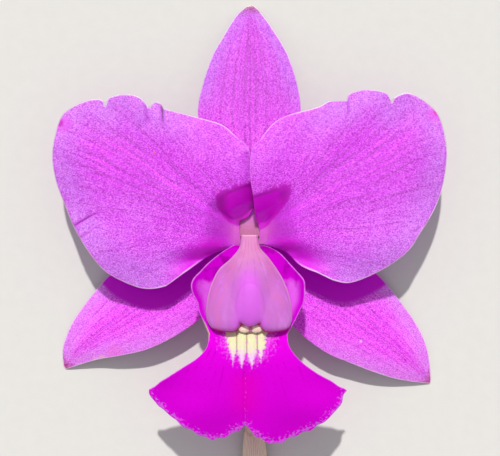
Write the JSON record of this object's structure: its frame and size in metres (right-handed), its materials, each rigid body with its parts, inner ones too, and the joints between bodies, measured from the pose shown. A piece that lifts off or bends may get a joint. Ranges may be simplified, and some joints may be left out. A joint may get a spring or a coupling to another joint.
{
  "type": "cattleya orchid bloom",
  "caption": "Picked orchid bloom lying face up: broad flat petals and sepals, a lobed lip round a hooded column, and a slender stalk lying along the surface.",
  "frame": {"origin": "middle of the part's length and width, on the surface that the bloom lies on", "axes": "+Z up, out of the flower's face; +Y from the stem's cut end to the dorsal sepal; +X to the right, seen from above with +Y up"},
  "size_m": [0.1058, 0.151, 0.0264],
  "materials": {
    "petal": "satin, finely sparkling skin",
    "sepal": "satin, finely sparkling skin",
    "lip": "velvety",
    "column": "waxy",
    "anther_cap": "waxy",
    "pollen": "waxy",
    "ovary": "waxy",
    "stem": "waxy",
    "bract": "dry and papery"
  },
  "bodies": {
    "root": {"dorsal_sepal": "sepal", "lateral_sepal_left": "sepal", "lateral_sepal_right": "sepal", "petal_left": "petal", "petal_right": "petal", "lip": "lip", "column": "column", "anther_cap": "anther_cap", "pollinia": "pollen", "ovary": "ovary", "flower_stem": "stem", "bract": "bract"}
  },
  "joints": []
}
